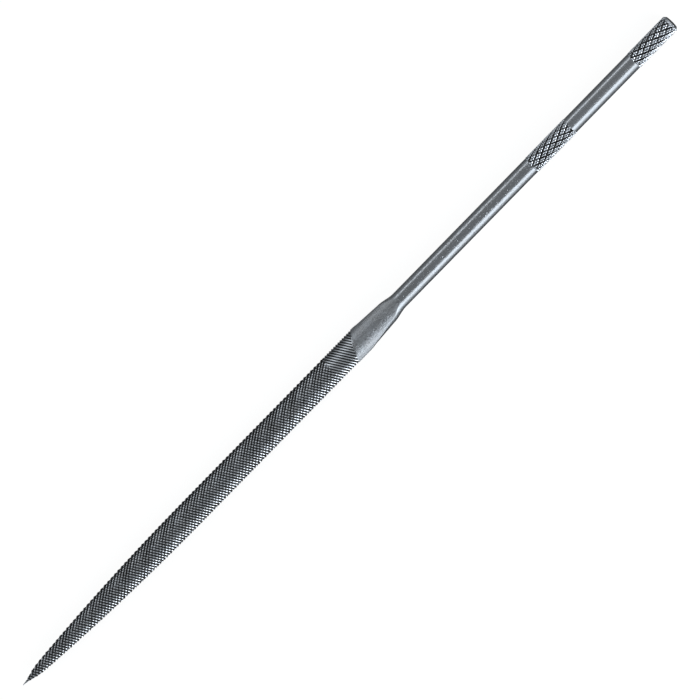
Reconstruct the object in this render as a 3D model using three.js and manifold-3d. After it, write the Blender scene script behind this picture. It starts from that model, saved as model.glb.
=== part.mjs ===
// Needle file of crossing (lens) section with a round knurled handle, lying flat on a bench.
// Units are millimetres. +X runs from the point to the butt, +Z is up, square to the wide faces,
// and the origin is on the bench under the middle of the file.
// The real file is one length of steel. Each mesh here is one worked zone of it, and
// neighbouring zones meet flush on a plane square to the file.
import * as THREE from "three";
import Module from "manifold-3d";
import { mergeVertices } from "three/addons/utils/BufferGeometryUtils.js";

// Lengths of the zones, from the point to the butt
const bladeLength = 84.5;
const heelLength = 9.8;
const shankLength = 31.4;
const frontKnurlLength = 9.4;
const collarLength = 15.7;
const rearKnurlLength = 9.2;

// Sections
const bladeWidth = 5.0;
const bladeThickness = 2.95;
const edgeLand = 0.12;
const shankDiameter = 3.15;
const collarDiameter = 3.15;
const knurlDiameter = 3.3;

// Point: the width grows along a parabola to the full blade, less a hollow that draws out the tip
const taperLength = 42.3;
const pointWidth = 0.14;
const parabolaShare = 0.735;
const tipHollowShare = 0.237;
const tipHollowLength = 2.4;

// Teeth: rows of sharp ridges that slant across both faces, with their steep side to the point.
// They stop on a slanted line, at one edge sooner than at the other.
const toothPitch = 0.527;
const toothDepth = 0.11;
const toothSlant = THREE.MathUtils.degToRad(57.8);
const crestShare = 0.3;
const fullDepthWidth = 2.2;
const uncutLength = 0.9;
const cutEndSkew = 2.8;
const faceStrips = 5;
const slabWidthShare = 1.02;
const outlineSteps = 60;

// Heel: the pressed stock narrows to the shank, and the ground faces run out on top of it
const stockShowsLength = 1.4;
const shoulderWidth = 4.12;
const shoulderLength = 3.4;
const shoulderInset = 1.2;
const runOutLength = 1.15;
const runOutInset = 0.95;
const runOutDepth = 0.095;
const heelSlices = 20;
const heelStrips = 22;

// Knurls: diamonds raised by crossed left-hand and right-hand grooves
const knurlGrooves = 10;
const knurlAxialPitch = 1.97;
const knurlDepth = 0.2;
const buttChamfer = 0.4;

// Facets of the round zones, and how far a cutting solid runs past what it cuts
const roundSides = 36;
const overrun = 0.5;

const shankStart = bladeLength + heelLength;
const frontKnurlStart = shankStart + shankLength;
const collarStart = frontKnurlStart + frontKnurlLength;
const rearKnurlStart = collarStart + collarLength;
const fileLength = rearKnurlStart + rearKnurlLength;

const halfBlade = bladeWidth / 2;
const halfThickness = bladeThickness / 2;
const shankRadius = shankDiameter / 2;
const lensRise = halfThickness - edgeLand / 2;
const lensRadius = (halfBlade ** 2 + lensRise ** 2) / (2 * lensRise);

const wasm = await Module();
wasm.setup();

// A closed geometry as a solid that can be cut
function solidOf(geometry) {
  const bare = geometry.clone();
  bare.deleteAttribute("normal");
  bare.deleteAttribute("uv");
  const merged = mergeVertices(bare);
  return new wasm.Manifold(new wasm.Mesh({
    numProp: 3,
    vertProperties: merged.attributes.position.array,
    triVerts: new Uint32Array(merged.index.array),
  }));
}

function geometryOf(solid) {
  const mesh = solid.getMesh();
  const geometry = new THREE.BufferGeometry();
  geometry.setAttribute("position", new THREE.BufferAttribute(mesh.vertProperties, mesh.numProp));
  geometry.setIndex(new THREE.BufferAttribute(mesh.triVerts, 1));
  return geometry;
}

// Moves every vertex of a geometry to the place that place(x, y, z) gives
function reshaped(geometry, place) {
  const points = geometry.getAttribute("position");
  for (let i = 0; i < points.count; i++) {
    points.setXYZ(i, ...place(points.getX(i), points.getY(i), points.getZ(i)));
  }
  return geometry;
}

// A unit cylinder laid along X. place gets the share of its length, and y and z on the unit circle
function laidCylinder(sides, slices, place) {
  const cylinder = new THREE.CylinderGeometry(1, 1, 1, sides, slices);
  return reshaped(cylinder, (x, y, z) => place(0.5 - y, -x, -z));
}

// Half width of the lens section at x from the point
function lensHalfWidth(x) {
  const left = Math.max(0, 1 - x / taperLength);
  const hollow = tipHollowShare * Math.exp(-((x / tipHollowLength) ** 2));
  return Math.max(pointWidth / 2, halfBlade * (1 - parabolaShare * left ** 2 - hollow));
}

// Height of a ground face above the middle plane, at y across a lens of the given half width
function faceHeight(y, halfWidth) {
  const scale = halfWidth / halfBlade;
  const arc = Math.sqrt(lensRadius ** 2 - (y / scale) ** 2) - (lensRadius - lensRise);
  return scale * (arc + edgeLand / 2);
}

// Half width of the pressed stock, which trims the edges of the lens near the heel
function stockHalfWidth(x) {
  const shoulderStart = shankStart - shoulderInset - shoulderLength;
  const showsAt = bladeLength - stockShowsLength;
  const narrowed = THREE.MathUtils.clamp((x - showsAt) / (shoulderStart - showsAt), 0, 1);
  const halfWidth = THREE.MathUtils.lerp(halfBlade, shoulderWidth / 2, narrowed);
  const stepped = THREE.MathUtils.smoothstep(x, shoulderStart, shoulderStart + shoulderLength);
  return THREE.MathUtils.lerp(halfWidth, shankRadius, stepped);
}

// The teeth stop on a slanted line before the heel
function isCut(x, towardsLongEdge) {
  const share = (towardsLongEdge / halfBlade + 1) / 2;
  return x < bladeLength - uncutLength - cutEndSkew * (1 - share);
}

// A slab whose upper side is one toothed face, a little wider than the blade. Its columns are the
// roots and crests of the teeth in turn, from one tooth before the point to past the heel.
function toothedSlab() {
  const slant = 1 / Math.tan(toothSlant);
  const teeth = Math.ceil((bladeLength + halfBlade * slant) / toothPitch) + 1;
  const columns = 2 * teeth;
  const box = new THREE.BoxGeometry(1, 1, 1, columns, faceStrips, 1);
  return reshaped(box, (boxX, boxY, boxZ) => {
    const column = Math.round((boxX + 0.5) * columns);
    const isRoot = column % 2 === 0;
    const station = (column / 2 - 1 + (isRoot ? 0 : crestShare - 0.5)) * toothPitch;
    let x = station;
    let y = 0;
    for (let pass = 0; pass < 8; pass++) {
      y = 2 * boxY * slabWidthShare * lensHalfWidth(x);
      x = station - slant * y;
    }
    if (boxZ < 0) return [x, y, -bladeThickness];
    const scale = lensHalfWidth(x) / halfBlade;
    const fullDepth = toothDepth * Math.min(1, scale * bladeWidth / fullDepthWidth);
    const depth = isRoot && isCut(x, y) ? fullDepth : 0;
    const sunk = 1 - depth / (lensRadius * scale);
    const arcCentre = scale * (halfThickness - lensRadius);
    return [x, y * sunk, arcCentre + sunk * (faceHeight(y, lensHalfWidth(x)) - arcCentre)];
  });
}

// The outline of the blade from above, as a tall bar
function outlineBar() {
  const box = new THREE.BoxGeometry(1, 1, 1, outlineSteps, 1, 1);
  return reshaped(box, (boxX, boxY, boxZ) => {
    const x = bladeLength * (boxX + 0.5) ** 2;
    const halfWidth = Math.min(lensHalfWidth(x), stockHalfWidth(x));
    return [x, 2 * boxY * halfWidth, 2 * boxZ * bladeThickness];
  });
}

// The blade: what the outline and its two faces have in common. The rear face is the front one,
// turned half round along the file.
function bladeGeometry() {
  const front = solidOf(toothedSlab());
  const rear = solidOf(toothedSlab().rotateX(Math.PI));
  return geometryOf(solidOf(outlineBar()).intersect(front).intersect(rear));
}

// A round bar pressed flat, whose sides keep the round of the bar
function pressedStock() {
  return laidCylinder(roundSides, heelSlices, (share, y, z) => {
    const x = bladeLength + share * heelLength;
    const spread = Math.sign(Math.round(y * roundSides));
    return [x, y * shankRadius + spread * (stockHalfWidth(x) - shankRadius), z * shankRadius];
  });
}

// How far the middle of a ground face stands off that of the blade. It sinks a little towards the
// shank, and then rises until it runs out on the stock.
function groundRise(x) {
  const riseStart = shankStart - runOutInset - runOutLength;
  const sinking = THREE.MathUtils.clamp((x - bladeLength) / (riseStart - bladeLength), 0, 1);
  const ramp = (Math.max(0, x - riseStart) / runOutLength) ** 2;
  return sinking * (shankRadius - runOutDepth - halfThickness) + runOutDepth * ramp;
}

// A lens bar with the ground faces of the heel
function groundBar() {
  const box = new THREE.BoxGeometry(1, 1, 1, heelSlices, heelStrips, 1);
  return reshaped(box, (boxX, boxY, boxZ) => {
    const x = bladeLength + heelLength / 2 + boxX * (heelLength + overrun);
    const y = 2 * boxY * halfBlade;
    return [x, y, Math.sign(boxZ) * (faceHeight(y, halfBlade) + groundRise(x))];
  });
}

function heelGeometry() {
  return geometryOf(solidOf(pressedStock()).intersect(solidOf(groundBar())));
}

function roundGeometry(start, length, diameter) {
  const radius = diameter / 2;
  return laidCylinder(roundSides, 1, (share, y, z) => [start + share * length, y * radius, z * radius]);
}

// A knurled zone: peaks and groove crossings alternate on a grid, so that each peak is a pyramid
function knurlGeometry(start, length, chamfer) {
  const rows = 2 * Math.round((length - chamfer) / knurlAxialPitch);
  const slices = chamfer > 0 ? rows + 1 : rows;
  const sides = 2 * knurlGrooves;
  const geometry = laidCylinder(sides, slices, (share, y, z) => {
    const row = Math.round(share * slices);
    const turn = Math.round(Math.atan2(y, z) / Math.PI * knurlGrooves);
    const isPeak = (row + turn + sides) % 2 === 0;
    const isButt = row > rows;
    const sunk = isButt ? chamfer : isPeak ? 0 : knurlDepth;
    const radius = knurlDiameter / 2 - sunk;
    const x = isButt ? length : row / rows * (length - chamfer);
    return [start + x, y * radius, z * radius];
  });
  turnWallDiagonals(geometry, sides * slices);
  return geometry;
}

// Splits each wall quad along its groove, and not along the line that joins its two peaks
function turnWallDiagonals(geometry, quads) {
  const index = geometry.getIndex();
  const points = geometry.getAttribute("position");
  const radius = (i) => Math.hypot(points.getY(i), points.getZ(i));
  for (let quad = 0; quad < quads; quad++) {
    const corner = (k) => index.getX(6 * quad + k);
    const [a, b, d, c] = [corner(0), corner(1), corner(2), corner(4)];
    if (radius(a) > radius(b)) continue;
    [a, b, c, a, c, d].forEach((vertex, k) => index.setX(6 * quad + k, vertex));
  }
}

const finishes = {
  cut: new THREE.MeshStandardMaterial({ color: 0x6b6e72, roughness: 0.5, metalness: 0.9 }),
  ground: new THREE.MeshStandardMaterial({ color: 0x9a9ea2, roughness: 0.4, metalness: 0.95 }),
  drawn: new THREE.MeshStandardMaterial({ color: 0xa3a8ae, roughness: 0.35, metalness: 0.95 }),
  knurled: new THREE.MeshStandardMaterial({ color: 0x8b8f94, roughness: 0.4, metalness: 0.95 }),
  turned: new THREE.MeshStandardMaterial({ color: 0xb4b8bd, roughness: 0.25, metalness: 1 }),
};

const needleFile = new THREE.Group();
needleFile.position.set(-fileLength / 2, 0, knurlDiameter / 2);

function addZone(name, geometry, finish) {
  const zone = new THREE.Mesh(geometry, finish);
  zone.name = name;
  needleFile.add(zone);
}

addZone("blade", bladeGeometry(), finishes.cut);
addZone("heel", heelGeometry(), finishes.ground);
addZone("shank", roundGeometry(shankStart, shankLength, shankDiameter), finishes.drawn);
addZone("front_knurl", knurlGeometry(frontKnurlStart, frontKnurlLength, 0), finishes.knurled);
addZone("collar", roundGeometry(collarStart, collarLength, collarDiameter), finishes.turned);
addZone("rear_knurl", knurlGeometry(rearKnurlStart, rearKnurlLength, buttChamfer), finishes.knurled);

export default needleFile;
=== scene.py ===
"""Needle file of crossing section with a round knurled handle, lying flat on a pale bench.

The six worked zones of the file are built around its CAD frame: toothed blade, ground heel, drawn shank,
front knurl, turned collar and rear knurl. Lengths are in metres. +X runs from the point to the butt.
"""
import math
import random

import bmesh
import bpy
from bpy.props import FloatProperty, FloatVectorProperty, IntProperty, PointerProperty
from mathutils import Matrix, Vector, noise


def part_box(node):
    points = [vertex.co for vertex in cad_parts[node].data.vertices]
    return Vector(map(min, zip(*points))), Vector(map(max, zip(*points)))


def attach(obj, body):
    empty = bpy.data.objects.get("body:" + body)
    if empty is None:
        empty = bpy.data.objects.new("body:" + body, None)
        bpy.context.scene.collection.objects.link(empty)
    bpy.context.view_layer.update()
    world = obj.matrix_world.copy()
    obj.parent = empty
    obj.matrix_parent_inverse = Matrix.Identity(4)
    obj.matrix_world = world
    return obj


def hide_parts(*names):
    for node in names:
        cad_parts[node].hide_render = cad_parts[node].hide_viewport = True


bl_info = {
    "name": "Needle File",
    "version": (1, 0, 0),
    "blender": (4, 5, 0),
    "location": "View3D > Sidebar > Needle File",
    "description": "Builds a crossing needle file with a knurled handle, and a studio to show it in",
    "category": "Object",
}

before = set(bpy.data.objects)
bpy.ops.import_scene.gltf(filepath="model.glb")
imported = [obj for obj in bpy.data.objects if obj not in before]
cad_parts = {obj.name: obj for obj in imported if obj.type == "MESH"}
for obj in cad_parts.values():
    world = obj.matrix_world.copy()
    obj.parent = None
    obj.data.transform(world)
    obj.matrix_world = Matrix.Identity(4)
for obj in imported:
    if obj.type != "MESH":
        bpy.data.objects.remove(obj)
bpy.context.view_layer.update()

MM = 0.001
BODY = "root"
POINT_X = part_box("blade")[0].x
HEEL_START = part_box("heel")[0].x - POINT_X
SHANK_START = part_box("shank")[0].x - POINT_X
FRONT_KNURL_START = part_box("front_knurl")[0].x - POINT_X
COLLAR_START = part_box("collar")[0].x - POINT_X
REAR_KNURL_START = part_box("rear_knurl")[0].x - POINT_X
FILE_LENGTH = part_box("rear_knurl")[1].x - POINT_X
AXIS_HEIGHT = (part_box("collar")[0].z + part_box("collar")[1].z) / 2
BAR_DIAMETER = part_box("shank")[1].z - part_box("shank")[0].z
KNURL_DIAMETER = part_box("front_knurl")[1].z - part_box("front_knurl")[0].z

# How finely the meshes are divided, and the lengths below which two places count as one
ROUND_STEPS = 112
FACE_ROWS = 92
GROUND_ROWS = 72
OUTLINE_STEPS = 1400
KNURL_STEPS = 24
BEVEL_STEPS = 4
WELD = 0.0001 * MM
ON_MIDDLE = 0.001 * MM
GROUND_MARGIN = 0.004 * MM
FLUSH = 0.01 * MM

# Angles from which an edge looks sharp
SHARP_TOOTH = math.radians(14)
SHARP_KNURL = math.radians(24)
SHARP_ROUND = math.radians(30)


# Sizes and colours


class NeedleFileBody(bpy.types.PropertyGroup):
    """Sizes of the blade, the heel and the round zones"""

    blade_width: FloatProperty(
        name="Blade width", description="Width of the lens section from edge to edge",
        default=5.0 * MM, unit="LENGTH",
    )
    blade_thickness: FloatProperty(
        name="Blade thickness", description="Thickness of the lens section",
        default=2.95 * MM, unit="LENGTH",
    )
    edge_land: FloatProperty(
        name="Edge land", description="Height of the blunt edge between the faces",
        default=0.26 * MM, unit="LENGTH",
    )
    taper_length: FloatProperty(
        name="Taper length", description="Length over which the point grows to full width",
        default=42.3 * MM, unit="LENGTH",
    )
    point_width: FloatProperty(
        name="Point width", description="Width of the blunt end of the point",
        default=0.14 * MM, unit="LENGTH",
    )
    parabola_share: FloatProperty(
        name="Parabola share", description="Share of the width that the taper takes away",
        default=0.735, subtype="FACTOR",
    )
    hollow_share: FloatProperty(
        name="Tip hollow", description="Share of the width by which the tip is drawn out",
        default=0.237, subtype="FACTOR",
    )
    hollow_length: FloatProperty(
        name="Tip hollow length", description="Reach of the drawn-out tip", default=2.4 * MM, unit="LENGTH"
    )
    stock_shows: FloatProperty(
        name="Stock shows", description="Distance before the heel at which the stock trims the edges",
        default=1.4 * MM, unit="LENGTH",
    )
    shoulder_width: FloatProperty(
        name="Shoulder width", description="Width of the stock where the shoulder starts",
        default=4.12 * MM, unit="LENGTH",
    )
    shoulder_length: FloatProperty(
        name="Shoulder length", description="Length over which the stock narrows to the shank",
        default=3.4 * MM, unit="LENGTH",
    )
    shoulder_inset: FloatProperty(
        name="Shoulder inset", description="Distance from the shoulder to the shank",
        default=1.2 * MM, unit="LENGTH",
    )
    run_out_length: FloatProperty(
        name="Run-out length", description="Length over which the ground faces rise out of the stock",
        default=1.15 * MM, unit="LENGTH",
    )
    run_out_inset: FloatProperty(
        name="Run-out inset", description="Distance from the end of the ground faces to the shank",
        default=0.95 * MM, unit="LENGTH",
    )
    run_out_depth: FloatProperty(
        name="Run-out depth", description="Depth of the ground faces below the round of the shank",
        default=0.095 * MM, unit="LENGTH",
    )
    bar_diameter: FloatProperty(
        name="Bar diameter", description="Diameter of the shank and the collar",
        default=BAR_DIAMETER, unit="LENGTH",
    )


class NeedleFileCut(bpy.types.PropertyGroup):
    """Sizes of the two crossed cuts that make the teeth"""

    upcut_pitch: FloatProperty(
        name="Upcut pitch", description="Distance along the file between upcut rows",
        default=0.527 * MM, unit="LENGTH",
    )
    upcut_depth: FloatProperty(
        name="Upcut depth", description="Depth of the upcut", default=0.113 * MM, unit="LENGTH"
    )
    upcut_angle: FloatProperty(
        name="Upcut angle", description="Angle of the upcut rows to the file",
        default=math.radians(57.8), subtype="ANGLE",
    )
    overcut_pitch: FloatProperty(
        name="Overcut pitch", description="Distance along the file between overcut rows",
        default=0.834 * MM, unit="LENGTH",
    )
    overcut_depth: FloatProperty(
        name="Overcut depth", description="Depth of the overcut", default=0.108 * MM, unit="LENGTH"
    )
    overcut_angle: FloatProperty(
        name="Overcut angle", description="Angle of the overcut rows to the file",
        default=math.radians(37.7), subtype="ANGLE",
    )
    lean: FloatProperty(
        name="Lean",
        description="Share by which the upcut is deeper at the short edge, and the overcut at the long one",
        default=0.55, subtype="FACTOR",
    )
    crest_share: FloatProperty(
        name="Crest", description="Share of the pitch that the steep front of a tooth takes",
        default=0.3, subtype="FACTOR",
    )
    overcut_end: FloatProperty(
        name="Overcut end", description="Distance from the point at which the overcut stops",
        default=76.8 * MM, unit="LENGTH",
    )
    uncut_length: FloatProperty(
        name="Uncut length", description="Length left uncut before the heel",
        default=0.9 * MM, unit="LENGTH",
    )
    end_skew: FloatProperty(
        name="End skew", description="How much sooner the upcut stops at the short edge",
        default=2.8 * MM, unit="LENGTH",
    )
    notch_depth: FloatProperty(
        name="Notch depth", description="Depth to which the teeth notch the edges",
        default=0.24 * MM, unit="LENGTH",
    )
    crest_rise: FloatProperty(
        name="Crest rise", description="How far the crests stand out of the outline",
        default=0.035 * MM, unit="LENGTH",
    )
    full_depth_width: FloatProperty(
        name="Full depth width", description="Width of blade from which the teeth have full depth",
        default=0.8 * MM, unit="LENGTH",
    )


class NeedleFileKnurl(bpy.types.PropertyGroup):
    """Sizes of the two knurled bands"""

    diameter: FloatProperty(
        name="Knurl diameter", description="Diameter over the diamonds",
        default=KNURL_DIAMETER, unit="LENGTH",
    )
    grooves: IntProperty(name="Grooves", description="Number of deep grooves of each hand", default=10)
    axial_pitch: FloatProperty(
        name="Axial pitch", description="Length of a diamond along the file",
        default=1.97 * MM, unit="LENGTH",
    )
    depth: FloatProperty(
        name="Groove depth", description="Depth of the grooves", default=0.2 * MM, unit="LENGTH"
    )
    deep_width: FloatProperty(
        name="Deep groove", description="Share of the pitch that a deep groove takes",
        default=0.54, subtype="FACTOR",
    )
    shallow_width: FloatProperty(
        name="Shallow groove", description="Share of the pitch that a shallow groove takes",
        default=0.2, subtype="FACTOR",
    )
    crown: FloatProperty(
        name="Crown", description="Drop of a small diamond from its middle, as a share of the depth",
        default=0.13, subtype="FACTOR",
    )
    lean: FloatProperty(
        name="Lean", description="How much deeper a wheel bit on one side, as a share of the depth",
        default=0.56, subtype="FACTOR",
    )
    chamfer: FloatProperty(
        name="Butt chamfer", description="Chamfer at the end of the rear knurl",
        default=0.4 * MM, unit="LENGTH",
    )


class NeedleFileFinish(bpy.types.PropertyGroup):
    """Colours and roughness of the steel"""

    steel: FloatVectorProperty(
        name="Steel", description="Colour of clean steel",
        default=(0.55, 0.575, 0.615), size=3, subtype="COLOR",
    )
    tarnish: FloatVectorProperty(
        name="Tarnish", description="Colour of steel that has dulled",
        default=(0.43, 0.415, 0.40), size=3, subtype="COLOR",
    )
    # Near black: dirt where it darkens the pits, and painted shade where it darkens the roots of the teeth,
    # the grooves of the knurls and the end of the butt.
    grime_and_shade: FloatVectorProperty(
        name="Grime And Shade", description="Colour of dirt in pits and of painted shade in hollows",
        default=(0.014, 0.013, 0.012), size=3, subtype="COLOR",
    )
    cut_roughness: FloatProperty(
        name="Cut roughness", description="Roughness of the cut teeth", default=0.26, subtype="FACTOR"
    )
    ground_roughness: FloatProperty(
        name="Ground roughness", description="Roughness of the ground heel", default=0.34, subtype="FACTOR"
    )
    drawn_roughness: FloatProperty(
        name="Drawn roughness", description="Roughness of the drawn shank", default=0.2, subtype="FACTOR"
    )
    knurled_roughness: FloatProperty(
        name="Knurled roughness", description="Roughness of the knurled bands",
        default=0.16, subtype="FACTOR",
    )
    turned_roughness: FloatProperty(
        name="Turned roughness", description="Roughness of the turned collar",
        default=0.25, subtype="FACTOR",
    )
    sawn_roughness: FloatProperty(
        name="Sawn roughness", description="Roughness of the sawn end of the butt",
        default=0.5, subtype="FACTOR",
    )


class NeedleFileStudio(bpy.types.PropertyGroup):
    """Brightness of the floor and the lights, as radiance"""

    key: FloatProperty(name="Key light", description="Radiance of the key softbox", default=1.45)
    fill: FloatProperty(name="Fill light", description="Radiance of the narrow fill softbox", default=1.05)
    glint: FloatProperty(
        name="Glint light", description="Radiance of the softbox past the butt", default=5.6
    )
    side: FloatProperty(
        name="Side light", description="Radiance of the softbox beside the butt", default=0.65
    )
    end: FloatProperty(name="End light", description="Radiance of the softbox past the point", default=1.3)
    ambient: FloatProperty(name="Ambient", description="Radiance of the room over the file", default=0.22)
    bright_end: FloatProperty(
        name="Bright end", description="Radiance of the room past the butt", default=0.52
    )
    dark_end: FloatProperty(
        name="Dark end", description="Radiance of the room past the point", default=0.02
    )
    floor: FloatVectorProperty(
        name="Floor", description="Colour of the floor", default=(0.13, 0.13, 0.13), size=3, subtype="COLOR"
    )
    floor_lift: FloatProperty(
        name="Floor lift", description="Extra brightness of the floor as the camera sees it", default=0.917
    )


# Shapes shared by the zones


def place(share, low, high):
    """The value at a share of the way from low to high, held between them."""
    return low + (high - low) * min(1.0, max(0.0, share))


def smooth_step(value, start, end):
    share = min(1.0, max(0.0, (value - start) / (end - start)))
    return share * share * (3.0 - 2.0 * share)


def lens_radius(body):
    rise = (body.blade_thickness - body.edge_land) / 2
    return ((body.blade_width / 2) ** 2 + rise**2) / (2 * rise)


def lens_half_width(body, x):
    """Half width of the blade at x from the point."""
    left = max(0.0, 1.0 - x / body.taper_length)
    hollow = body.hollow_share * math.exp(-((x / body.hollow_length) ** 2))
    grown = body.blade_width / 2 * (1.0 - body.parabola_share * left * left - hollow)
    return max(body.point_width / 2, grown)


def face_height(body, y, half_width):
    """Height of a ground face over the middle plane, at y across a lens of the given half width."""
    scale = half_width / (body.blade_width / 2)
    radius = lens_radius(body)
    arc = math.sqrt(radius**2 - (y / scale) ** 2) - radius + body.blade_thickness / 2
    return scale * arc


def stock_half_width(body, x):
    """Half width of the pressed stock, which trims the edges of the lens near the heel."""
    shoulder = SHANK_START - body.shoulder_inset - body.shoulder_length
    shows = HEEL_START - body.stock_shows
    narrowed = place((x - shows) / (shoulder - shows), body.blade_width / 2, body.shoulder_width / 2)
    return place(smooth_step(x, shoulder, shoulder + body.shoulder_length), narrowed, body.bar_diameter / 2)


def ground_rise(body, x):
    """How far the middle of a ground face stands off that of the blade, down to the run-out and up it."""
    rise_start = SHANK_START - body.run_out_inset - body.run_out_length
    sunk = body.bar_diameter / 2 - body.run_out_depth - body.blade_thickness / 2
    ramp = (max(0.0, x - rise_start) / body.run_out_length) ** 2
    return place((x - HEEL_START) / (rise_start - HEEL_START), 0.0, sunk) + body.run_out_depth * ramp


# Mesh making


def spun(profile, steps):
    """A closed solid spun round the X axis from points (x, radius) that start and end on the axis."""
    bm = bmesh.new()
    points = [bm.verts.new((x, 0.0, radius)) for x, radius in profile]
    lines = [bm.edges.new(pair) for pair in zip(points, points[1:])]
    bmesh.ops.spin(
        bm, geom=points + lines, cent=(0, 0, 0), axis=(1, 0, 0), angle=math.tau, steps=steps, use_merge=True
    )
    bmesh.ops.remove_doubles(bm, verts=bm.verts[:], dist=WELD)
    bmesh.ops.recalc_face_normals(bm, faces=bm.faces[:])
    return bm


def round_bar(start, end, radii):
    """A closed round bar from start to end, with the given radii at even steps along it."""
    slices = len(radii) - 1
    profile = [(start, 0.0)]
    profile += [(start + (end - start) * n / slices, radius) for n, radius in enumerate(radii)]
    profile += [(end, 0.0)]
    return spun(profile, ROUND_STEPS)


def grid_bar(columns, rows):
    """A closed flat bar of unit length and width. Returns it with its upper and its lower vertices."""
    bm = bmesh.new()
    bmesh.ops.create_grid(bm, x_segments=columns, y_segments=rows, size=0.5)
    upper = bm.verts[:]
    made = bmesh.ops.extrude_face_region(bm, geom=bm.faces[:])
    lower = [item for item in made["geom"] if isinstance(item, bmesh.types.BMVert)]
    return bm, upper, lower


def link_mesh(name, bm):
    """Makes an object of a bmesh and puts it into the scene."""
    mesh = bpy.data.meshes.new(name)
    bm.to_mesh(mesh)
    bm.free()
    thing = bpy.data.objects.new(name, mesh)
    bpy.context.scene.collection.objects.link(thing)
    return thing


def common_part(first, *others):
    """What several closed solids have in common, as one bmesh."""
    for bm in (first, *others):
        bmesh.ops.recalc_face_normals(bm, faces=bm.faces[:])
    kept = link_mesh("kept_part", first)
    cutters = [link_mesh("cutting_part", other) for other in others]
    for cutter in cutters:
        common = kept.modifiers.new("Common", "BOOLEAN")
        common.operation = "INTERSECT"
        common.solver = "MANIFOLD"
        common.object = cutter
    result = bmesh.new()
    result.from_object(kept, bpy.context.evaluated_depsgraph_get())
    for used in (kept, *cutters):
        mesh = used.data
        bpy.data.objects.remove(used)
        bpy.data.meshes.remove(mesh)
    if not result.faces:
        raise RuntimeError("the solids have nothing in common")
    bmesh.ops.dissolve_degenerate(result, edges=result.edges[:], dist=WELD)
    return result


def mark_hollows(bm, depth_at):
    """Keeps how deep each vertex lies, from 0 on the surface to 1 at the bottom of a groove."""
    layer = bm.verts.layers.float.new("hollow")
    for vertex in bm.verts:
        vertex[layer] = min(1.0, max(0.0, depth_at(vertex.co)))


def add_piece(name, bm, materials, node, sharp_angle):
    """Puts a zone of the file in its place on the frame, instead of its CAD node."""
    for face in bm.faces:
        face.smooth = True
    for edge in bm.edges:
        edge.smooth = edge.calc_face_angle(math.pi) < sharp_angle
    bmesh.ops.translate(bm, verts=bm.verts[:], vec=(POINT_X, 0.0, AXIS_HEIGHT))
    piece = link_mesh(name, bm)
    for material in materials:
        piece.data.materials.append(material)
    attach(piece, BODY)
    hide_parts(node)


# Node trees


def add_node(tree, kind, inputs=None, **settings):
    """Adds a node, makes its settings, and gives its inputs their values or links."""
    node = tree.nodes.new(kind)
    for key, value in settings.items():
        setattr(node, key, value)
    for key, value in (inputs or {}).items():
        if isinstance(value, bpy.types.NodeSocket):
            tree.links.new(value, node.inputs[key])
        else:
            node.inputs[key].default_value = value
    return node


def new_group(name, inputs, outputs):
    """Makes a shader node group. Returns it with its input and output nodes."""
    tree = bpy.data.node_groups.new(name, "ShaderNodeTree")
    for socket, kind in inputs:
        tree.interface.new_socket(name=socket, in_out="INPUT", socket_type=kind)
    for socket, kind in outputs:
        tree.interface.new_socket(name=socket, in_out="OUTPUT", socket_type=kind)
    return tree, tree.nodes.new("NodeGroupInput"), tree.nodes.new("NodeGroupOutput")


def grain_group():
    """Fine lines or grains: noise drawn out by a scale for each axis, spread about the middle."""
    tree, given, result = new_group(
        "Steel Grain",
        [("Vector", "NodeSocketVector"), ("Scale", "NodeSocketVector"), ("Contrast", "NodeSocketFloat")],
        [("Value", "NodeSocketFloat")],
    )
    stretched = add_node(tree, "ShaderNodeVectorMath", {
        0: given.outputs["Vector"], 1: given.outputs["Scale"],
    }, operation="MULTIPLY")
    grains = add_node(tree, "ShaderNodeTexNoise", {
        "Vector": stretched.outputs[0], "Scale": 1.0, "Detail": 3.0, "Roughness": 0.6,
    })
    centred = add_node(tree, "ShaderNodeMath", {0: grains.outputs["Fac"], 1: 0.5}, operation="SUBTRACT")
    spread = add_node(tree, "ShaderNodeMath", {
        0: centred.outputs[0], 1: given.outputs["Contrast"], 2: 0.5,
    }, operation="MULTIPLY_ADD", use_clamp=True)
    tree.links.new(spread.outputs[0], result.inputs["Value"])
    return tree


def pits_group():
    """Shallow pits with ragged edges, scattered over a surface: 1 in a pit and 0 round it."""
    tree, given, result = new_group(
        "Steel Pits",
        [("Vector", "NodeSocketVector"), ("Scale", "NodeSocketVector"), ("Amount", "NodeSocketFloat")],
        [("Value", "NodeSocketFloat")],
    )
    stretched = add_node(tree, "ShaderNodeVectorMath", {
        0: given.outputs["Vector"], 1: given.outputs["Scale"],
    }, operation="MULTIPLY")
    field = add_node(tree, "ShaderNodeTexNoise", {
        "Vector": stretched.outputs[0], "Scale": 1.0, "Detail": 2.0, "Roughness": 0.7, "Distortion": 0.6,
    })
    highest = 0.78
    rim = 0.1
    edge = add_node(tree, "ShaderNodeMath", {0: highest, 1: given.outputs["Amount"]}, operation="SUBTRACT")
    floor_level = add_node(tree, "ShaderNodeMath", {0: edge.outputs[0], 1: rim}, operation="ADD")
    pits = add_node(tree, "ShaderNodeMapRange", {
        "Value": field.outputs["Fac"], "From Min": edge.outputs[0], "From Max": floor_level.outputs[0],
    }, interpolation_type="SMOOTHSTEP")
    tree.links.new(pits.outputs["Result"], result.inputs["Value"])
    return tree


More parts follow.
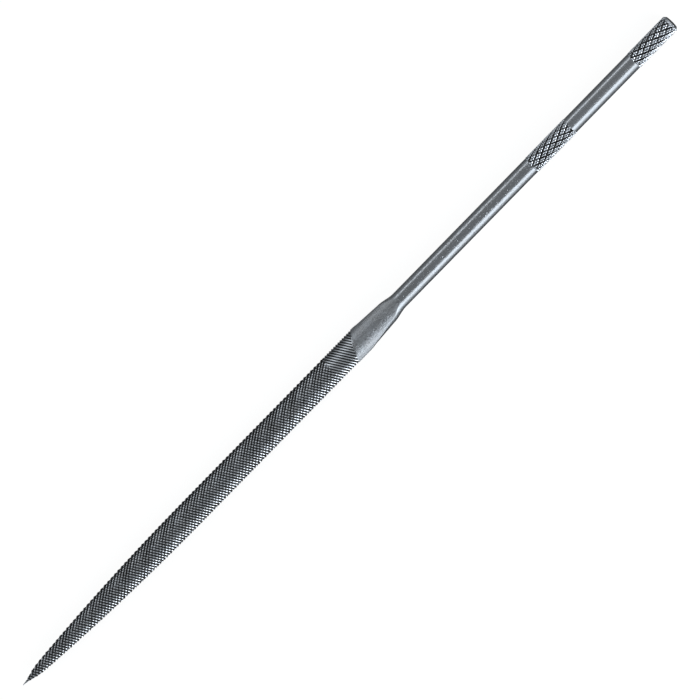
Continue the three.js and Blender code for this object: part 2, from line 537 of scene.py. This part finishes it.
def patina_group():
    """Tints steel with soft clouds of tarnish, and darkens it by a mask: dirt in pits, painted shade in
    hollows.
    """
    tree, given, result = new_group(
        "Steel Patina",
        [("Vector", "NodeSocketVector"), ("Steel", "NodeSocketColor"), ("Tarnish", "NodeSocketColor"),
         ("Grime And Shade", "NodeSocketColor"), ("Tarnish Amount", "NodeSocketFloat"),
         ("Grime Mask", "NodeSocketFloat")],
        [("Color", "NodeSocketColor")],
    )
    clouds = add_node(tree, "ShaderNodeTexNoise", {
        "Vector": given.outputs["Vector"], "Scale": 420.0, "Detail": 4.0, "Roughness": 0.65,
    })
    patches = add_node(tree, "ShaderNodeMapRange", {
        "Value": clouds.outputs["Fac"], "From Min": 0.35, "From Max": 0.7,
    })
    share = add_node(tree, "ShaderNodeMath", {
        0: patches.outputs["Result"], 1: given.outputs["Tarnish Amount"],
    }, operation="MULTIPLY", use_clamp=True)
    tinted = add_node(tree, "ShaderNodeMix", {
        "Factor": share.outputs[0], 6: given.outputs["Steel"], 7: given.outputs["Tarnish"],
    }, data_type="RGBA")
    soil_and_shade = add_node(tree, "ShaderNodeMix", {
        "Factor": given.outputs["Grime Mask"], 6: tinted.outputs[2], 7: given.outputs["Grime And Shade"],
    }, data_type="RGBA")
    tree.links.new(soil_and_shade.outputs[2], result.inputs["Color"])
    return tree


def hollow_shade_group():
    """Turns the depth below a surface into a mask of painted shade and dirt in hollows, between two depths.
    """
    tree, given, result = new_group(
        "Hollow Shade Mask",
        [("Depth", "NodeSocketFloat"), ("Start", "NodeSocketFloat"), ("Full", "NodeSocketFloat"),
         ("Amount", "NodeSocketFloat")],
        [("Mask", "NodeSocketFloat")],
    )
    ramp = add_node(tree, "ShaderNodeMapRange", {
        "Value": given.outputs["Depth"], "From Min": given.outputs["Start"],
        "From Max": given.outputs["Full"], "To Max": given.outputs["Amount"],
    }, interpolation_type="SMOOTHSTEP")
    tree.links.new(ramp.outputs["Result"], result.inputs["Mask"])
    return tree


def shared_group(name, make):
    """A node group that is made once and used by several materials."""
    return bpy.data.node_groups.get(name) or make()


# shade scales a colour; on the steel it is painted light or painted shade over a whole zone.
def colour(rgb, shade=1.0):
    return (*(shade * part for part in rgb), 1.0)


def steel_material(name, roughness, spread, grain, pits, tarnish, grime_and_shade, shade=1.0):
    """Bare steel with grain, pits, tarnish, and dirt with painted shade in its hollows, made when it is
    first asked for.

    spread is how much the roughness varies. grain is (scale for each axis, contrast, depth), pits is (scale
    for each axis, amount, depth), and grime is (the depths at which it starts and is full, amount): it
    darkens the steel, as dirt in the pits and as painted shade in the hollows. shade scales the colour of
    the steel, painted light or painted shade over the whole zone.
    """
    if name in bpy.data.materials:
        return bpy.data.materials[name]
    soil_in_pits = 0.5
    soil_roughness = 0.25
    finish = bpy.context.scene.needle_file_finish
    material = bpy.data.materials.new(name)
    material.use_nodes = True
    tree = material.node_tree
    tree.nodes.clear()
    spot = add_node(tree, "ShaderNodeTexCoord").outputs["Object"]
    depth = add_node(tree, "ShaderNodeAttribute", attribute_name="hollow").outputs["Fac"]
    lines = add_node(tree, "ShaderNodeGroup", {
        "Vector": spot, "Scale": grain[0], "Contrast": grain[1],
    }, node_tree=shared_group("Steel Grain", grain_group))
    dents = add_node(tree, "ShaderNodeGroup", {
        "Vector": spot, "Scale": pits[0], "Amount": pits[1],
    }, node_tree=shared_group("Steel Pits", pits_group))
    hollow = add_node(tree, "ShaderNodeGroup", {
        "Depth": depth, "Start": grime_and_shade[0], "Full": grime_and_shade[1], "Amount": grime_and_shade[2],
    }, node_tree=shared_group("Hollow Shade Mask", hollow_shade_group))
    # Darkening mask: dirt in the pits, plus painted shade in the hollows of the teeth and the knurls.
    soil_and_shade = add_node(tree, "ShaderNodeMath", {
        0: dents.outputs["Value"], 1: soil_in_pits, 2: hollow.outputs["Mask"],
    }, operation="MULTIPLY_ADD", use_clamp=True)
    # shade lightens or darkens the steel colour of a whole zone: painted light or painted shade.
    patina = add_node(tree, "ShaderNodeGroup", {
        "Vector": spot, "Steel": colour(finish.steel, shade), "Tarnish": colour(finish.tarnish, shade),
        "Grime And Shade": colour(finish.grime_and_shade), "Tarnish Amount": tarnish, "Grime Mask": soil_and_shade.outputs[0],
    }, node_tree=shared_group("Steel Patina", patina_group))
    worn = add_node(tree, "ShaderNodeMath", {
        0: lines.outputs["Value"], 1: spread, 2: roughness - spread / 2,
    }, operation="MULTIPLY_ADD")
    dulled = add_node(tree, "ShaderNodeMath", {
        0: soil_and_shade.outputs[0], 1: soil_roughness, 2: worn.outputs[0],
    }, operation="MULTIPLY_ADD", use_clamp=True)
    ridged = add_node(tree, "ShaderNodeBump", {
        "Height": lines.outputs["Value"], "Strength": 1.0, "Distance": grain[2],
    })
    dented = add_node(tree, "ShaderNodeBump", {
        "Height": dents.outputs["Value"], "Strength": 1.0, "Distance": pits[2],
        "Normal": ridged.outputs["Normal"],
    }, invert=True)
    shader = add_node(tree, "ShaderNodeBsdfPrincipled", {
        "Base Color": patina.outputs["Color"], "Metallic": 1.0, "Roughness": dulled.outputs[0],
        "Normal": dented.outputs["Normal"],
    })
    add_node(tree, "ShaderNodeOutputMaterial", {"Surface": shader.outputs["BSDF"]})
    return material


def cut_steel(finish):
    # The roots of the teeth are darkened nearly to black: dirt and painted shade.
    return steel_material(
        "toothed_finish", finish.cut_roughness, spread=0.12,
        grain=((6000.0, 6000.0, 6000.0), 1.5, 0.006 * MM), pits=((9000.0, 9000.0, 9000.0), 0.1, 0.004 * MM),
        tarnish=0.3, grime_and_shade=(0.4, 0.8, 0.98),
    )


def ground_steel(finish):
    # Colour scaled down to 0.82: painted shade that dims the ground faces of the heel.
    return steel_material(
        "ground_finish", finish.ground_roughness, spread=0.16,
        grain=((3000.0, 6500.0, 6500.0), 3.2, 0.016 * MM), pits=((3500.0, 6500.0, 6500.0), 0.2, 0.012 * MM),
        tarnish=0.4, grime_and_shade=(0.1, 0.8, 0.6), shade=0.82,
    )


def drawn_steel(finish):
    return steel_material(
        "drawn_finish", finish.drawn_roughness, spread=0.12,
        grain=((1800.0, 6500.0, 6500.0), 2.8, 0.008 * MM), pits=((2200.0, 7000.0, 7000.0), 0.16, 0.008 * MM),
        tarnish=0.3, grime_and_shade=(0.1, 0.8, 0.6),
    )


def turned_steel(finish):
    return steel_material(
        "turned_finish", finish.turned_roughness, spread=0.12,
        grain=((7000.0, 300.0, 300.0), 2.2, 0.008 * MM), pits=((4000.0, 2500.0, 2500.0), 0.08, 0.004 * MM),
        tarnish=0.35, grime_and_shade=(0.1, 0.8, 0.6),
    )


def knurled_steel(finish):
    # Colour scaled up to 1.3: painted light on the lands. The grooves are darkened nearly to black: dirt and
    # painted shade.
    return steel_material(
        "knurled_finish", finish.knurled_roughness, spread=0.12,
        grain=((5000.0, 5000.0, 5000.0), 1.5, 0.004 * MM), pits=((4000.0, 4000.0, 4000.0), 0.1, 0.006 * MM),
        tarnish=0.0, grime_and_shade=(0.28, 0.46, 0.98), shade=1.3,
    )


def sawn_steel(finish):
    """The end of the butt, darkened nearly to black all over by painted shade: its mask is full from depth 0
    on.
    """
    return steel_material(
        "sawn_finish", finish.sawn_roughness, spread=0.12,
        grain=((3000.0, 3000.0, 3000.0), 2.0, 0.01 * MM), pits=((4000.0, 4000.0, 4000.0), 0.1, 0.006 * MM),
        tarnish=1.0, grime_and_shade=(-1.0, 0.0, 0.8),
    )


def drawn_relief(point):
    """How far the skin of drawn steel lies below its full size at a point, in waves along the file."""
    waves_per_metre = Vector((500.0, 1500.0, 1500.0))
    fineness = 0.6
    lacunarity = 2.0
    octaves = 3
    relief = 0.006 * MM
    return relief * (0.5 - 0.5 * noise.fractal(point * waves_per_metre, fineness, lacunarity, octaves))


def drawn_bar(body, start, end, slices, wider_at):
    """A closed bar of drawn steel with its wavy skin, wider to both sides by what wider_at gives at x."""
    radius = body.bar_diameter / 2
    bm = round_bar(start, end, [radius] * (slices + 1))
    for vertex in bm.verts:
        out = math.hypot(vertex.co.y, vertex.co.z)
        if out < radius / 2:
            continue
        grown = 1.0 - drawn_relief(vertex.co) / out
        side = math.copysign(1.0, vertex.co.y) if abs(vertex.co.y) > ON_MIDDLE else 0.0
        y = vertex.co.y * grown + side * wider_at(vertex.co.x)
        vertex.co = (vertex.co.x, y, vertex.co.z * grown)
    return bm


# The zones of the file


def cut_end(body, cut, y):
    """Where the teeth stop, at y across the upper face. The line slants from one edge to the other."""
    return HEEL_START - cut.uncut_length - cut.end_skew * (0.5 - y / body.blade_width)


def upcut_share(body, cut, x, y):
    """Share of its depth that the upcut has at a place: 1, and 0 past the line where it stops."""
    run_in = 0.35 * MM
    return place((cut_end(body, cut, y) - x) / run_in, 0.0, 1.0)


def overcut_share(cut, x):
    """Share of its depth that the overcut has at x from the point: 1, and 0 past its end."""
    run_in = 0.6 * MM
    return place((cut.overcut_end - x) / run_in, 0.0, 1.0)


def tooth_depth(cut, phase):
    """Depth below the crests at a phase of a row: from 1 up the steep front to 0, then down the back."""
    part = phase % 1.0
    if part < cut.crest_share:
        return 1.0 - part / cut.crest_share
    return (part - cut.crest_share) / (1.0 - cut.crest_share)


def toothed_slab(body, cut):
    """A slab wider than the blade, whose upper side is one face with all its teeth.

    Its columns follow the rows of the upcut: the root, the crest and the back of each tooth in turn.
    """
    draw = random.Random(11)
    half_blade = body.blade_width / 2
    slant = 1 / math.tan(cut.upcut_angle)
    cross = 1 / math.tan(cut.overcut_angle)
    teeth = math.ceil((HEEL_START + half_blade * slant) / cut.upcut_pitch) + 2
    back_share = 0.62
    back_height = 0.52
    phases = (0.0, cut.crest_share, back_share)
    heights = (0.0, 1.0, back_height)
    columns = len(phases) * teeth
    overhang = 1.1
    shifts = (-0.02, 0.02)
    upcut_strengths = (0.9, 1.08)
    overcut_strengths = (0.7, 1.15)
    overcut_rows = 400
    uneven = [(draw.uniform(*shifts), draw.uniform(*upcut_strengths)) for _ in range(teeth + 1)]
    uneven_over = [draw.uniform(*overcut_strengths) for _ in range(overcut_rows)]
    radius = lens_radius(body)
    bm, upper, lower = grid_bar(columns, FACE_ROWS)

    def spot(vertex):
        """Place of a vertex and its depth in the upcut. The width depends on x, so rounds settle it."""
        rounds = 7
        column = round((vertex.co.x + 0.5) * columns)
        tooth, step = divmod(column, len(phases))
        shift, strength = uneven[tooth]
        station = (tooth - 1 + phases[step] + shift) * cut.upcut_pitch
        x = station
        y = 0.0
        for _ in range(rounds):
            y = 2 * overhang * vertex.co.y * lens_half_width(body, x)
            x = station - slant * y
        return x, y, (1.0 - heights[step]) * strength

    for vertex in upper:
        x, y, up = spot(vertex)
        half_width = lens_half_width(body, x)
        scale = half_width / half_blade
        double = overcut_share(cut, x)
        lean = cut.lean * min(1.0, max(-1.0, y / half_width)) * (double if y > 0 else 1.0)
        up *= (1.0 - lean) * upcut_share(body, cut, x, y)
        line = (x - cross * y) / cut.overcut_pitch
        over = tooth_depth(cut, line) * uneven_over[math.floor(line) % overcut_rows] * double * (1.0 + lean)
        depth = max(cut.upcut_depth * up, cut.overcut_depth * over)
        depth *= min(1.0, scale * body.blade_width / cut.full_depth_width)
        sunk = 1.0 - depth / (radius * scale)
        centre = scale * (body.blade_thickness / 2 - radius)
        vertex.co = (x, y * sunk, centre + sunk * (face_height(body, y, half_width) - centre))
    for vertex in lower:
        x, y, _ = spot(vertex)
        vertex.co = (x, y, -body.blade_thickness)
    return bm


def outline_bar(body, cut):
    """The outline of the blade from above, as a tall bar.

    The roots of the overcut notch the long edge, as far as it goes, and those of the upcut the rest.
    """
    bm, upper, lower = grid_bar(OUTLINE_STEPS, 1)
    slant = 1 / math.tan(cut.upcut_angle)
    cross = 1 / math.tan(cut.overcut_angle)
    for side, vertices in ((1, upper), (-1, lower)):
        for vertex in vertices:
            x = HEEL_START * (vertex.co.x + 0.5)
            half_width = min(lens_half_width(body, x), stock_half_width(body, x))
            edge = math.copysign(half_width, vertex.co.y)
            double = overcut_share(cut, x) if edge > 0 else 0.0
            up = tooth_depth(cut, (x + slant * edge) / cut.upcut_pitch)
            up *= (1.0 - double) * upcut_share(body, cut, x, edge)
            over = double * tooth_depth(cut, (x - cross * edge) / cut.overcut_pitch)
            depth = cut.notch_depth * min(1.0, half_width * 2 / cut.full_depth_width) * max(up, over)
            y = math.copysign(half_width + cut.crest_rise - depth, edge)
            vertex.co = (x, y, side * body.blade_thickness)
    return bm


class NEEDLEFILE_OT_blade(bpy.types.Operator):
    """Build the double-cut blade"""

    bl_idname = "needle_file.blade"
    bl_label = "Blade"

    def execute(self, context):
        body = context.scene.needle_file_body
        cut = context.scene.needle_file_cut
        rear = toothed_slab(body, cut)
        bmesh.ops.rotate(rear, verts=rear.verts[:], cent=(0, 0, 0), matrix=Matrix.Rotation(math.pi, 3, "X"))
        bm = common_part(toothed_slab(body, cut), rear, outline_bar(body, cut))

        def depth_at(point):
            half_width = lens_half_width(body, point.x)
            face = face_height(body, min(abs(point.y), half_width), half_width)
            return (face - abs(point.z)) / cut.upcut_depth

        mark_hollows(bm, depth_at)
        for face in bm.faces:
            middle = face.calc_center_median()
            across = middle.y if middle.z > 0 else -middle.y
            face.material_index = 1 if middle.x > cut_end(body, cut, across) else 0
        finish = context.scene.needle_file_finish
        materials = (cut_steel(finish), ground_steel(finish))
        add_piece("file_blade", bm, materials, "blade", SHARP_TOOTH)
        return {"FINISHED"}


class NEEDLEFILE_OT_heel(bpy.types.Operator):
    """Build the ground heel between the blade and the shank"""

    bl_idname = "needle_file.heel"
    bl_label = "Heel"

    def execute(self, context):
        body = context.scene.needle_file_body
        length = SHANK_START - HEEL_START
        slices = 98
        overrun = 1.0 * MM

        def wider_at(x):
            return stock_half_width(body, x) - body.bar_diameter / 2

        def ground_at(x, y):
            return face_height(body, y, body.blade_width / 2) + ground_rise(body, x)

        stock = drawn_bar(body, HEEL_START, SHANK_START, slices, wider_at)
        ground, upper, lower = grid_bar(slices, GROUND_ROWS)
        for side, vertices in ((1, upper), (-1, lower)):
            for vertex in vertices:
                x = HEEL_START + length / 2 + vertex.co.x * (length + overrun)
                y = vertex.co.y * body.blade_width
                vertex.co = (x, y, side * ground_at(x, y))
        bm = common_part(stock, ground)
        mark_hollows(bm, lambda point: 0.0)
        for face in bm.faces:
            middle = face.calc_center_median()
            gap = max(abs(abs(v.co.z) - ground_at(v.co.x, v.co.y)) for v in face.verts)
            is_ground = gap < GROUND_MARGIN or middle.x < HEEL_START + FLUSH
            face.material_index = 0 if is_ground else 1
        finish = context.scene.needle_file_finish
        materials = (ground_steel(finish), drawn_steel(finish))
        add_piece("file_heel", bm, materials, "heel", SHARP_TOOTH)
        return {"FINISHED"}


class NEEDLEFILE_OT_shank(bpy.types.Operator):
    """Build the drawn round shank"""

    bl_idname = "needle_file.shank"
    bl_label = "Shank"

    def execute(self, context):
        body = context.scene.needle_file_body
        slices = 220
        bm = drawn_bar(body, SHANK_START, FRONT_KNURL_START, slices, lambda x: 0.0)
        mark_hollows(bm, lambda point: 0.0)
        material = drawn_steel(context.scene.needle_file_finish)
        add_piece("file_shank", bm, (material,), "shank", SHARP_ROUND)
        return {"FINISHED"}


class NEEDLEFILE_OT_collar(bpy.types.Operator):
    """Build the turned collar between the knurled bands"""

    bl_idname = "needle_file.collar"
    bl_label = "Collar"

    def execute(self, context):
        body = context.scene.needle_file_body
        draw = random.Random(5)
        radius = body.bar_diameter / 2
        slices = 150
        ring_depth = 0.003 * MM
        radii = [radius - draw.uniform(0.0, ring_depth) for _ in range(slices + 1)]
        bm = round_bar(COLLAR_START, REAR_KNURL_START, radii)
        mark_hollows(bm, lambda point: 0.0)
        material = turned_steel(context.scene.needle_file_finish)
        add_piece("file_collar", bm, (material,), "collar", SHARP_ROUND)
        return {"FINISHED"}


def knurl_sink(knurl, pressures, x, turn):
    """How deep the grooves are at x along a band and at a turn round it, as a share of the full depth.

    Each hand has deep grooves and, halfway between them, shallow ones, and the small diamonds between them
    are crowned. Each wheel ran a little out of true, so it bit deeper on one side of the file. No groove is
    quite even: noise of two scales, each with its amount and its offset, changes its strength.
    """
    deepest_side = math.radians(70)
    most = 1.1
    least_shallow = 0.3
    unevenness = ((0.35, 2.6, Vector((7.0, 0.0, 0.0))), (0.55, 8.0, Vector((0.0, 5.0, 0.0))))
    sunk = 0.0
    crown = 0.0
    around = Vector((x / knurl.axial_pitch, math.cos(math.tau * turn), math.sin(math.tau * turn)))
    for hand, pressure in zip((1, -1), pressures):
        strength = pressure - hand * knurl.lean * math.cos(math.tau * turn - deepest_side)
        strength = min(most, max(0.0, strength))
        for amount, scale, offset in unevenness:
            strength *= 1.0 + amount * noise.noise(around * scale + offset * hand)
        phase = knurl.grooves * turn + hand * x / knurl.axial_pitch + 0.5
        deep = abs(phase - round(phase)) / (knurl.deep_width / 2)
        shallow = abs(phase + 0.5 - round(phase + 0.5)) / (knurl.shallow_width / 2)
        sunk = max(sunk, strength * (1.0 - deep), least_shallow * (1.0 + strength) * (1.0 - shallow))
        crown += knurl.crown * (1.0 - 2.0 * abs(2.0 * phase - round(2.0 * phase))) ** 2
    return sunk + crown


def knurl_envelope(knurl, bar_radius, start, end, chamfer, x):
    """Radius of a knurled band without its grooves, bevelled where it meets the bar and at the butt."""
    rear = knurl.diameter / 2 - max(0.0, x - (end - chamfer)) if chamfer else bar_radius + end - x
    return min(knurl.diameter / 2, bar_radius + x - start, rear)


def knurl_band(body, knurl, start, end, chamfer, pressures):
    """A band with crossed grooves, as a solid spun round the file and then cut by moving its vertices."""
    well_inside = knurl.diameter / 4
    slices = round((end - start - chamfer) / knurl.axial_pitch * KNURL_STEPS)
    stations = [start + (end - start - chamfer) * n / slices for n in range(slices + 1)]
    if chamfer:
        stations += [end - chamfer * (1 - n / BEVEL_STEPS) for n in range(1, BEVEL_STEPS + 1)]
    profile = [(start, 0.0)] + [(x, knurl.diameter / 2) for x in stations] + [(end, 0.0)]
    bm = spun(profile, knurl.grooves * KNURL_STEPS)
    wall = [face for face in bm.faces if all(math.hypot(v.co.y, v.co.z) > well_inside for v in face.verts)]
    bmesh.ops.poke(bm, faces=wall)

    def envelope(x):
        return knurl_envelope(knurl, body.bar_diameter / 2, start, end, chamfer, x)

    def depth_at(point):
        out = math.hypot(point.y, point.z)
        return (envelope(point.x) - out) / knurl.depth if out > well_inside else 0.0

    for vertex in bm.verts:
        out = math.hypot(vertex.co.y, vertex.co.z)
        if out < well_inside:
            continue
        turn = math.atan2(vertex.co.y, vertex.co.z) / math.tau
        cut = knurl.diameter / 2 - knurl.depth * knurl_sink(knurl, pressures, vertex.co.x - start, turn)
        grown = min(cut, envelope(vertex.co.x)) / out
        vertex.co.y *= grown
        vertex.co.z *= grown
    mark_hollows(bm, depth_at)
    return bm


class NEEDLEFILE_OT_knurls(bpy.types.Operator):
    """Build the front and the rear knurled bands"""

    bl_idname = "needle_file.knurls"
    bl_label = "Knurls"

    def execute(self, context):
        front_pressures = (0.84, 0.84)
        rear_pressures = (1.05, 0.62)
        body = context.scene.needle_file_body
        knurl = context.scene.needle_file_knurl
        material = knurled_steel(context.scene.needle_file_finish)
        front = knurl_band(body, knurl, FRONT_KNURL_START, COLLAR_START, 0.0, front_pressures)
        add_piece("file_front_knurl", front, (material,), "front_knurl", SHARP_KNURL)
        rear = knurl_band(body, knurl, REAR_KNURL_START, FILE_LENGTH, knurl.chamfer, rear_pressures)
        for face in rear.faces:
            face.material_index = 1 if face.calc_center_median().x > FILE_LENGTH - FLUSH else 0
        materials = (material, sawn_steel(context.scene.needle_file_finish))
        add_piece("file_rear_knurl", rear, materials, "rear_knurl", SHARP_KNURL)
        return {"FINISHED"}


# The studio


COOL = (0.9, 0.96, 1.0)
PALE = (0.94, 0.98, 1.0)

# Light, length, width, degrees from straight up, degrees swung round from -Y to +X, tint
SOFTBOXES = (
    ("key", 1.8, 0.62, 70, 0, COOL),
    ("fill", 0.62, 0.2, -54, 6, PALE),
    ("glint", 0.3, 0.68, 59, 32, COOL),
    ("side", 0.35, 0.7, -60, -22, PALE),
    ("end", 0.9, 0.36, 51, -115, PALE),
)


def softbox(name, radiance, length, width, zenith, swing, tint):
    """A rectangular light that faces the file, at an angle from straight up and swung from -Y to +X."""
    distance = 0.9
    lamp = bpy.data.lights.new(name, "AREA")
    lamp.shape = "RECTANGLE"
    lamp.size = length
    lamp.size_y = width
    lamp.energy = radiance * math.pi * length * width
    lamp.color = tint
    thing = bpy.data.objects.new(name, lamp)
    bpy.context.scene.collection.objects.link(thing)
    turn = Matrix.Rotation(swing, 4, "Z") @ Matrix.Rotation(zenith, 4, "X")
    thing.matrix_world = turn @ Matrix.Translation((0.0, 0.0, distance))
    thing.visible_camera = False


class NEEDLEFILE_OT_studio(bpy.types.Operator):
    """Build the pale floor, the soft lights and the camera"""

    bl_idname = "needle_file.studio"
    bl_label = "Studio"

    def execute(self, context):
        studio = context.scene.needle_file_studio
        half_floor = 4.0
        bm = bmesh.new()
        bmesh.ops.create_grid(bm, x_segments=4, y_segments=4, size=half_floor)
        floor = link_mesh("floor", bm)
        floor.data.materials.append(self.floor_material(studio))

        for light, length, width, zenith, swing, tint in SOFTBOXES:
            turns = (math.radians(zenith), math.radians(swing))
            softbox(light + "_softbox", getattr(studio, light), length, width, *turns, tint)
        self.set_room(context.scene, studio)
        self.set_camera(context.scene)
        context.scene.view_settings.view_transform = "Standard"
        return {"FINISHED"}

    def floor_material(self, studio):
        """A dim, slightly glossy floor, lifted to a pale one where the camera sees it."""
        material = bpy.data.materials.new("pale_floor")
        material.use_nodes = True
        tree = material.node_tree
        tree.nodes.clear()
        gloss = add_node(tree, "ShaderNodeBsdfPrincipled", {
            "Base Color": colour(studio.floor), "Roughness": 0.22, "IOR": 1.7,
        })
        seen = add_node(tree, "ShaderNodeLightPath").outputs["Is Camera Ray"]
        lift = add_node(tree, "ShaderNodeMath", {0: seen, 1: studio.floor_lift}, operation="MULTIPLY")
        glow = add_node(tree, "ShaderNodeEmission", {"Strength": lift.outputs[0]})
        both = add_node(tree, "ShaderNodeAddShader", {0: gloss.outputs[0], 1: glow.outputs[0]})
        add_node(tree, "ShaderNodeOutputMaterial", {"Surface": both.outputs[0]})
        return material

    def set_room(self, scene, studio):
        """A dim room, dark past the point of the file and bright past the butt. The camera sees white."""
        world = bpy.data.worlds.new("room")
        world.use_nodes = True
        tree = world.node_tree
        tree.nodes.clear()
        seen = add_node(tree, "ShaderNodeLightPath").outputs["Is Camera Ray"]
        direction = add_node(tree, "ShaderNodeTexCoord").outputs["Generated"]
        side = add_node(tree, "ShaderNodeSeparateXYZ", {0: direction})
        front = add_node(tree, "ShaderNodeMapRange", {
            "Value": side.outputs["X"], "From Min": -0.5, "From Max": -0.2, "To Min": studio.dark_end,
            "To Max": studio.ambient,
        })
        back = add_node(tree, "ShaderNodeMapRange", {
            "Value": side.outputs["X"], "From Min": 0.02, "From Max": 0.2, "To Min": 0.0,
            "To Max": studio.bright_end - studio.ambient,
        })
        level = add_node(tree, "ShaderNodeMath", {0: front.outputs[0], 1: back.outputs[0]}, operation="ADD")
        dim = add_node(tree, "ShaderNodeBackground", {"Color": colour(PALE), "Strength": level.outputs[0]})
        white = add_node(tree, "ShaderNodeBackground", {"Color": (1.0, 1.0, 1.0, 1.0), "Strength": 1.0})
        both = add_node(tree, "ShaderNodeMixShader", {0: seen, 1: dim.outputs[0], 2: white.outputs[0]})
        add_node(tree, "ShaderNodeOutputWorld", {"Surface": both.outputs[0]})
        scene.world = world

    def set_camera(self, scene):
        """A long lens almost straight over the file, turned so that the file runs up to the right."""
        sensor = 36.0 * MM
        lens = 1600.0 * MM
        view_width = 119.6 * MM
        roll = math.radians(45.64)
        picture_width = 700
        right_pixels = 3.43
        up_pixels = 4.33
        far_limit = 20.0
        towards = Vector((0.1405, -0.1673, 1.0)).normalized()
        along = (Vector((1, 0, 0)) - towards * towards.x).normalized()
        across = towards.cross(along)
        right = along * math.cos(roll) - across * math.sin(roll)
        up = along * math.sin(roll) + across * math.cos(roll)
        pixel = view_width / picture_width
        middle = Vector((POINT_X + FILE_LENGTH / 2, 0.0, AXIS_HEIGHT))
        middle += right * right_pixels * pixel + up * up_pixels * pixel
        camera = bpy.data.cameras.new("camera")
        camera.sensor_width = sensor / MM
        camera.lens = lens / MM
        camera.clip_end = far_limit
        thing = bpy.data.objects.new("camera", camera)
        scene.collection.objects.link(thing)
        turn = Matrix((right, up, towards)).transposed().to_4x4()
        thing.matrix_world = Matrix.Translation(middle + towards * view_width * lens / sensor) @ turn
        scene.camera = thing


class NEEDLEFILE_PT_tools(bpy.types.Panel):
    """Lists the steps that build the needle file"""

    bl_label = "Needle File"
    bl_idname = "NEEDLEFILE_PT_tools"
    bl_space_type = "VIEW_3D"
    bl_region_type = "UI"
    bl_category = "Needle File"

    def draw(self, context):
        layout = self.layout
        for operator in OPERATORS:
            layout.operator(operator.bl_idname)
        for group in SETTINGS:
            settings = getattr(context.scene, group)
            box = layout.box()
            for name in settings.__annotations__:
                box.prop(settings, name)


OPERATORS = (
    NEEDLEFILE_OT_blade,
    NEEDLEFILE_OT_heel,
    NEEDLEFILE_OT_shank,
    NEEDLEFILE_OT_knurls,
    NEEDLEFILE_OT_collar,
    NEEDLEFILE_OT_studio,
)
SETTINGS = {
    "needle_file_body": NeedleFileBody,
    "needle_file_cut": NeedleFileCut,
    "needle_file_knurl": NeedleFileKnurl,
    "needle_file_finish": NeedleFileFinish,
    "needle_file_studio": NeedleFileStudio,
}
CLASSES = (*SETTINGS.values(), *OPERATORS, NEEDLEFILE_PT_tools)


def register():
    for item in CLASSES:
        bpy.utils.register_class(item)
    for name, group in SETTINGS.items():
        setattr(bpy.types.Scene, name, PointerProperty(type=group))


def unregister():
    for name in SETTINGS:
        delattr(bpy.types.Scene, name)
    for item in reversed(CLASSES):
        bpy.utils.unregister_class(item)


def main():
    """Builds the file and its studio."""
    register()
    bpy.ops.needle_file.blade()
    bpy.ops.needle_file.heel()
    bpy.ops.needle_file.shank()
    bpy.ops.needle_file.knurls()
    bpy.ops.needle_file.collar()
    bpy.ops.needle_file.studio()


if __name__ == "__main__":
    main()
